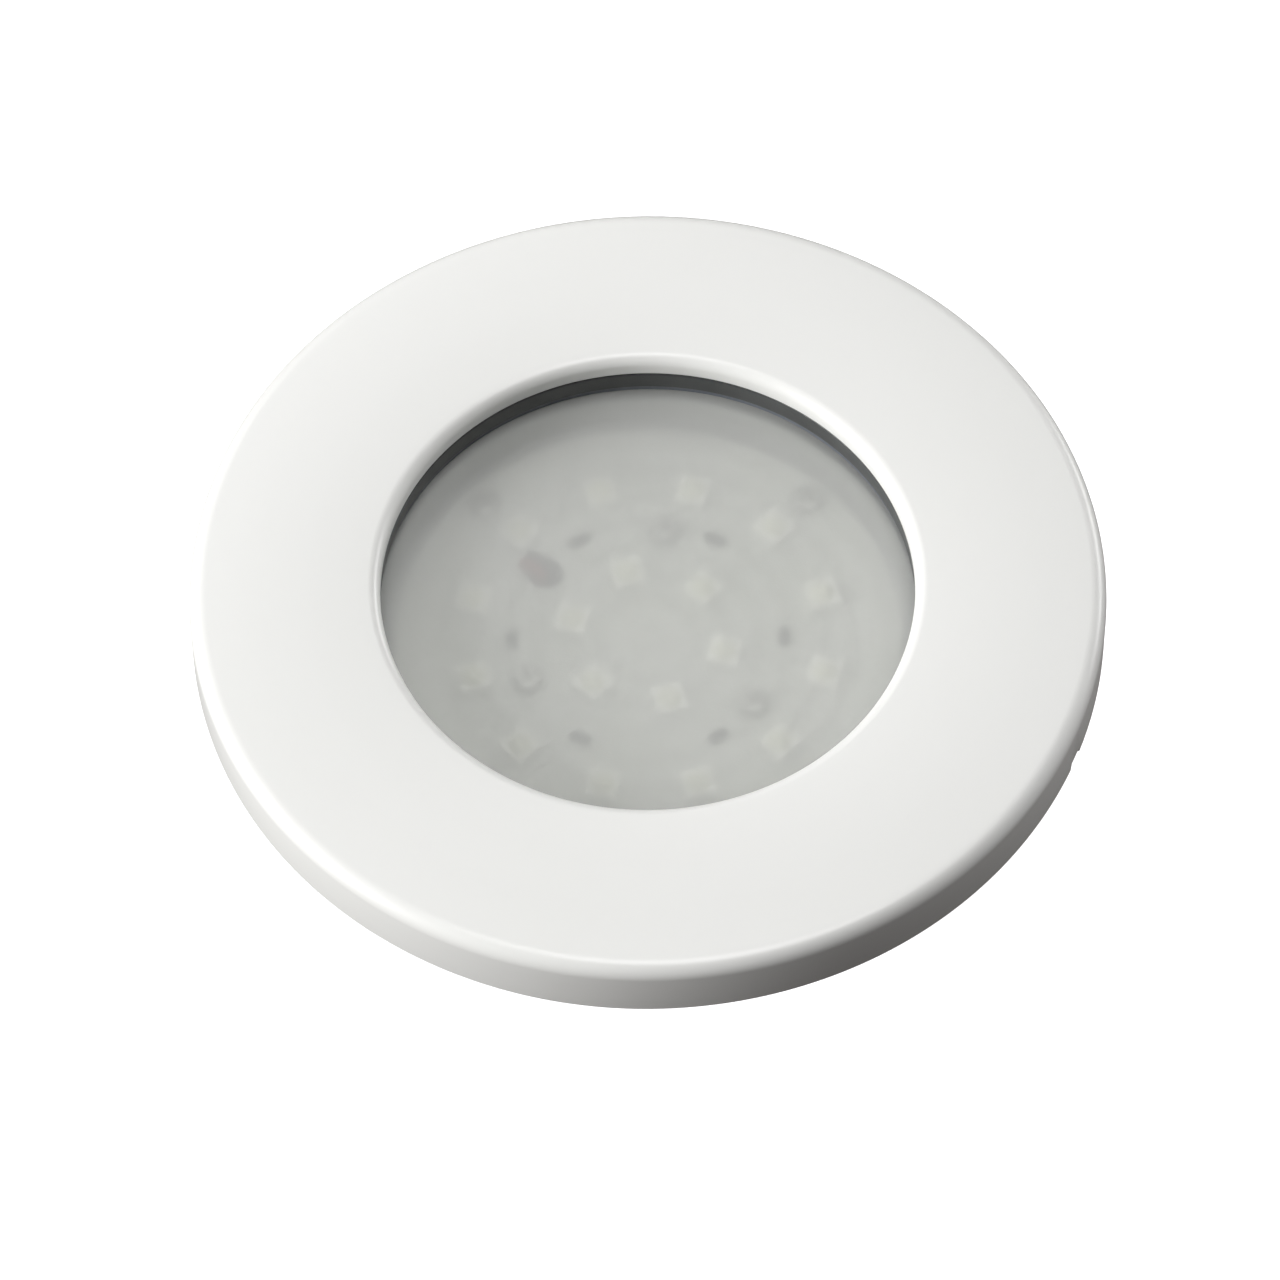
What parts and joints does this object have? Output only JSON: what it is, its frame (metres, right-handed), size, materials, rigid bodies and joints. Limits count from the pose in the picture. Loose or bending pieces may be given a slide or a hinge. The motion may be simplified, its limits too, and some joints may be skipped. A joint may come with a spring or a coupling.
{
  "type": "underwater pool light",
  "caption": "Round underwater pool light with a white push-on face ring, a frosted lens and a watertight body behind the wall flange.",
  "frame": {"origin": "centre of the wall screw circle, on the pool wall plane under the flange's gasket", "axes": "+Z out of the wall, through the face ring and into the water; +X and +Y lie in the wall plane, halfway between the wall screw holes"},
  "size_m": [0.15, 0.15, 0.0595],
  "materials": {
    "bezel_white": "glossy moulded ABS",
    "black_rubber": "matte rubber",
    "housing_grey": "fine moulded texture",
    "clamp_black": "satin moulded",
    "stainless": "satin stainless steel",
    "brass": "machined brass",
    "frosted_glass": "frosted toughened glass",
    "grey_rubber": "soft silicone",
    "led_board_white": "white solder mask on aluminium",
    "led_white": "white LED bodies",
    "led_phosphor": "clear resin over phosphor",
    "chip_black": "moulded epoxy",
    "thermal_grey": "soft thermal pad",
    "aluminium": "turned aluminium",
    "wire_red": "wire insulation",
    "wire_black": "wire insulation",
    "board_green": "green solder mask",
    "capacitor_sleeve": "shrunk sleeve",
    "ferrite": "sintered ferrite",
    "terminal_green": "moulded nylon",
    "nickel_brass": "nickel-plated brass",
    "claw_nylon": "nylon"
  },
  "bodies": {
    "lamp": {"bezel_grip_ring": "black_rubber", "wall_gasket": "black_rubber", "gland_washer": "black_rubber", "flange": "housing_grey", "barrel": "housing_grey", "rear_cover": "housing_grey", "rear_feet": "housing_grey", "clamp_ring": "clamp_black", "clamp_screws": "stainless", "led_board_screws": "stainless", "spreader_screws": "stainless", "driver_screws": "stainless", "terminal_screws": "stainless", "screw_inserts": "brass", "board_standoffs": "brass", "lens": "frosted_glass", "lens_gasket": "grey_rubber", "led_board": "led_board_white", "led_packages": "led_white", "led_windows": "led_phosphor", "led_resistors": "chip_black", "rectifier": "chip_black", "driver_chips": "chip_black", "thermal_pad": "thermal_grey", "heat_spreader": "aluminium", "led_lead_red": "wire_red", "led_lead_black": "wire_black", "driver_board": "board_green", "capacitors": "capacitor_sleeve", "inductors": "ferrite", "terminal_block": "terminal_green", "gland_body": "nickel_brass", "gland_locknut": "nickel_brass"},
    "face_ring": {"bezel": "bezel_white"},
    "gland_follower": {"gland_seal": "black_rubber", "gland_claw": "claw_nylon"},
    "dome_nut": {"gland_nut": "nickel_brass"}
  },
  "joints": [
    {"name": "bezel_pull", "type": "slide", "parent": "lamp", "child": "face_ring", "axis": [0, 0, 1], "range_m": [0, 0.03], "deforming": ["bezel_grip_ring"]},
    {"name": "gland_back_out", "type": "slide", "parent": "lamp", "child": "gland_follower", "axis": [0, 0, -1], "range_m": [0, 0.0023]},
    {"name": "gland_nut_turn", "type": "hinge", "parent": "gland_follower", "child": "dome_nut", "pos_m": [0, 0, -0.038], "axis": [0, 0, -1], "range_deg": [0, 540]}
  ],
  "couplings": [
    {"joint": "gland_back_out", "follows": "gland_nut_turn", "m_per_rad": 0.00023873}
  ]
}
